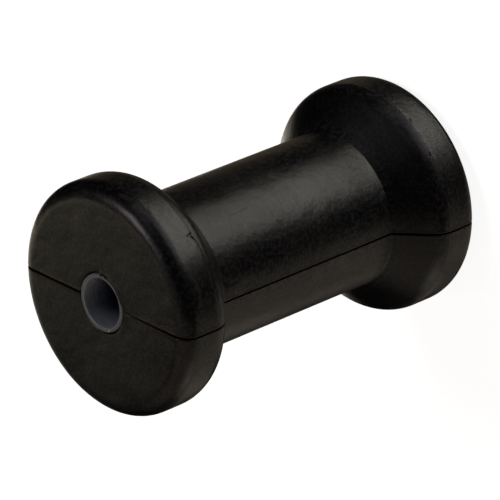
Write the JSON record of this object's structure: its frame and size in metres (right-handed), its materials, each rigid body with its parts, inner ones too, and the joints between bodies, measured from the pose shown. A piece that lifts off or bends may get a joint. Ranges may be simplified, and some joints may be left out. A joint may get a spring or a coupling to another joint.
{
  "type": "boat trailer roller",
  "caption": "Moulded rubber spool roller with rounded flanges, a plain barrel and a tube sleeve for a shaft, to carry a boat's keel on a trailer.",
  "frame": {"origin": "middle of the bore, which is the middle of the whole roller", "axes": "+Z along the bore's axis towards the end face that the picture shows, the mould's parting plane at Y = 0"},
  "size_m": [0.0762, 0.0762, 0.127],
  "materials": {
    "rubber": "satin",
    "sleeve": "satin"
  },
  "bodies": {
    "root": {"roller_body": "rubber", "bore_sleeve": "sleeve"}
  },
  "joints": []
}
